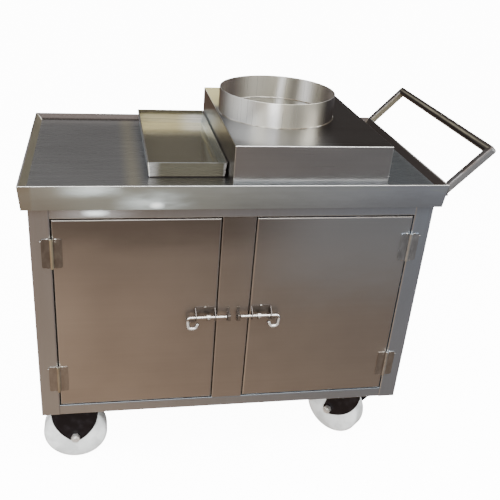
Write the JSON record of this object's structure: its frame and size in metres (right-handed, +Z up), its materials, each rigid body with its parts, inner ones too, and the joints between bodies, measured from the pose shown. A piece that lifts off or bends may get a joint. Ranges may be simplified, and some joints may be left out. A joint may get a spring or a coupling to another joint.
{
  "type": "serving trolley",
  "caption": "Stainless serving trolley: hinged-door cabinet on castors, rimmed worktop with a raised pot well and lift-out tray, sliding door bolts and a push handle.",
  "frame": {"origin": "on the floor, below the middle of the bounding box of the whole trolley", "axes": "+X along the length towards the push handle, doors facing -Y, +Z up"},
  "size_m": [0.9909, 0.51, 0.908],
  "materials": {
    "top_stainless": "grey brushed sheet, grain along the length",
    "door_stainless": "warm satin sheet with soft reflections",
    "frame_stainless": "warm brushed sheet and tube",
    "bright_stainless": "bright rolled or folded sheet",
    "hinge_steel": "dull pressed steel",
    "polished_steel": "polished rod and plate",
    "plated_steel": "zinc-plated fasteners",
    "black_paint": "black painted pressing",
    "white_nylon": "white moulded nylon",
    "grey_plastic": "plain plastic bush"
  },
  "bodies": {
    "cabinet": {"back_fixed_axle": "plated_steel", "back_fixed_bracket": "black_paint", "back_left_post": "frame_stainless", "back_panel": "frame_stainless", "back_rails": "frame_stainless", "back_right_post": "frame_stainless", "back_swivel_king_pin": "plated_steel", "back_swivel_plate": "black_paint", "bottom_shelf": "frame_stainless", "castor_bolts": "plated_steel", "castor_pads": "frame_stainless", "front_bottom_rail": "frame_stainless", "front_fixed_axle": "plated_steel", "front_fixed_bracket": "black_paint", "front_left_post": "frame_stainless", "front_right_post": "frame_stainless", "front_swivel_king_pin": "plated_steel", "front_swivel_plate": "black_paint", "front_top_rail": "frame_stainless", "handle_back_arm": "top_stainless", "handle_crossbar": "top_stainless", "handle_front_arm": "top_stainless", "left_bolt_keeper": "polished_steel", "left_hinge_pins": "hinge_steel", "left_hinge_post_leaves": "hinge_steel", "left_side_panel": "frame_stainless", "left_side_rails": "frame_stainless", "mullion": "frame_stainless", "pot_box": "top_stainless", "pot_well": "bright_stainless", "right_bolt_keeper": "polished_steel", "right_hinge_pins": "hinge_steel", "right_hinge_post_leaves": "hinge_steel", "right_side_panel": "frame_stainless", "right_side_rails": "frame_stainless", "worktop": "top_stainless", "worktop_stiffeners": "frame_stainless"},
    "left_door": {"left_door": "door_stainless", "left_hinge_door_leaves": "hinge_steel", "left_bolt_bracket": "polished_steel"},
    "right_door": {"right_door": "door_stainless", "right_hinge_door_leaves": "hinge_steel", "right_bolt_bracket": "polished_steel"},
    "left_bolt_slider": {"left_bolt_collar": "polished_steel"},
    "right_bolt_slider": {"right_bolt_collar": "polished_steel"},
    "left_bolt_handle": {"left_bolt_rod": "polished_steel"},
    "right_bolt_handle": {"right_bolt_rod": "polished_steel"},
    "tray": {"lift_out_tray": "bright_stainless"},
    "front_fixed_wheel": {"front_fixed_wheel": "white_nylon", "front_fixed_bush": "grey_plastic"},
    "front_swivel": {"front_swivel_fork": "black_paint", "front_swivel_axle": "plated_steel"},
    "front_swivel_wheel": {"front_swivel_wheel": "white_nylon", "front_swivel_bush": "grey_plastic"},
    "back_fixed_wheel": {"back_fixed_wheel": "white_nylon", "back_fixed_bush": "grey_plastic"},
    "back_swivel": {"back_swivel_fork": "black_paint", "back_swivel_axle": "plated_steel"},
    "back_swivel_wheel": {"back_swivel_wheel": "white_nylon", "back_swivel_bush": "grey_plastic"}
  },
  "joints": [
    {"name": "left_door_hinge", "type": "hinge", "parent": "cabinet", "child": "left_door", "pos_m": [-0.43625, -0.2368, 0.458], "axis": [0, 0, -1], "range_deg": [0, 175]},
    {"name": "right_door_hinge", "type": "hinge", "parent": "cabinet", "child": "right_door", "pos_m": [0.34525, -0.2368, 0.458], "axis": [0, 0, 1], "range_deg": [0, 175]},
    {"name": "left_bolt_slide", "type": "slide", "parent": "left_door", "child": "left_bolt_slider", "axis": [1, 0, 0], "range_m": [-0.022, 0.009]},
    {"name": "left_bolt_turn", "type": "hinge", "parent": "left_bolt_slider", "child": "left_bolt_handle", "pos_m": [-0.1055, -0.247, 0.458], "axis": [-1, 0, 0], "range_deg": [0, 180]},
    {"name": "right_bolt_slide", "type": "slide", "parent": "right_door", "child": "right_bolt_slider", "axis": [-1, 0, 0], "range_m": [-0.022, 0.009]},
    {"name": "right_bolt_turn", "type": "hinge", "parent": "right_bolt_slider", "child": "right_bolt_handle", "pos_m": [0.0145, -0.247, 0.458], "axis": [-1, 0, 0], "range_deg": [0, 180]},
    {"name": "tray_lift", "type": "slide", "parent": "cabinet", "child": "tray", "axis": [0, 0, 1], "range_m": [0, 0.2]},
    {"name": "front_fixed_wheel_spin", "type": "hinge", "parent": "cabinet", "child": "front_fixed_wheel", "pos_m": [-0.4085, -0.145, 0.078], "axis": [0, 1, 0], "continuous": true},
    {"name": "front_swivel_turn", "type": "hinge", "parent": "cabinet", "child": "front_swivel", "pos_m": [0.3175, -0.145, 0.195], "axis": [0, 0, 1], "continuous": true},
    {"name": "front_swivel_wheel_spin", "type": "hinge", "parent": "front_swivel", "child": "front_swivel_wheel", "pos_m": [0.28793, -0.10976, 0.078], "axis": [-0.766, -0.6428, 0], "continuous": true},
    {"name": "back_fixed_wheel_spin", "type": "hinge", "parent": "cabinet", "child": "back_fixed_wheel", "pos_m": [-0.4085, 0.151, 0.078], "axis": [0, 1, 0], "continuous": true},
    {"name": "back_swivel_turn", "type": "hinge", "parent": "cabinet", "child": "back_swivel", "pos_m": [0.3175, 0.151, 0.195], "axis": [0, 0, 1], "continuous": true},
    {"name": "back_swivel_wheel_spin", "type": "hinge", "parent": "back_swivel", "child": "back_swivel_wheel", "pos_m": [0.27427, 0.16673, 0.078], "axis": [-0.342, -0.9397, 0], "continuous": true}
  ]
}
